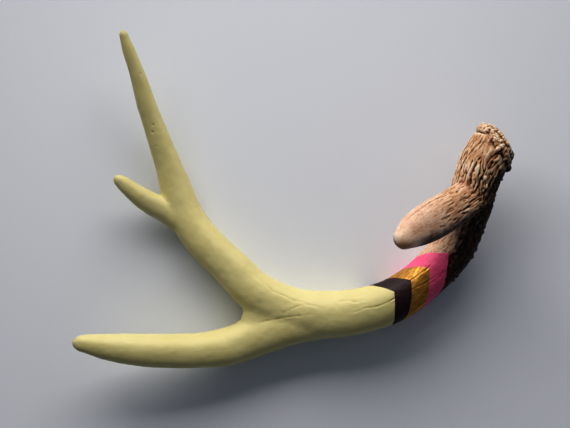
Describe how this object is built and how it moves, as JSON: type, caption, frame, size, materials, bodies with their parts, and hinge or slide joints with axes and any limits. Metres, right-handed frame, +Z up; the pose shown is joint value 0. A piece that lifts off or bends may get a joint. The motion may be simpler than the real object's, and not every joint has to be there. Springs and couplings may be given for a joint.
{
  "type": "painted antler",
  "caption": "Cast deer antler lying on its side: a curved main beam with a knobbed burr and branching tines, painted with chevron bands from mid beam to the tips.",
  "frame": {"origin": "at the height the antler rests on, under the middle of its box", "axes": "+X from the forked end towards the burr, +Y towards the main beam's tip, +Z up from the surface it lies on"},
  "size_m": [0.2964, 0.2305, 0.093],
  "materials": {
    "painted_bone": "brushed matte acrylic paint over bone, pale yellow past bands of plum, gold and hot pink",
    "bare_bone": "dry bare antler bone, cream ridges with dark brown grooves"
  },
  "bodies": {
    "root": {"main_beam": "painted_bone", "brow_tine": "bare_bone", "second_tine": "painted_bone", "third_tine": "painted_bone"}
  },
  "joints": []
}
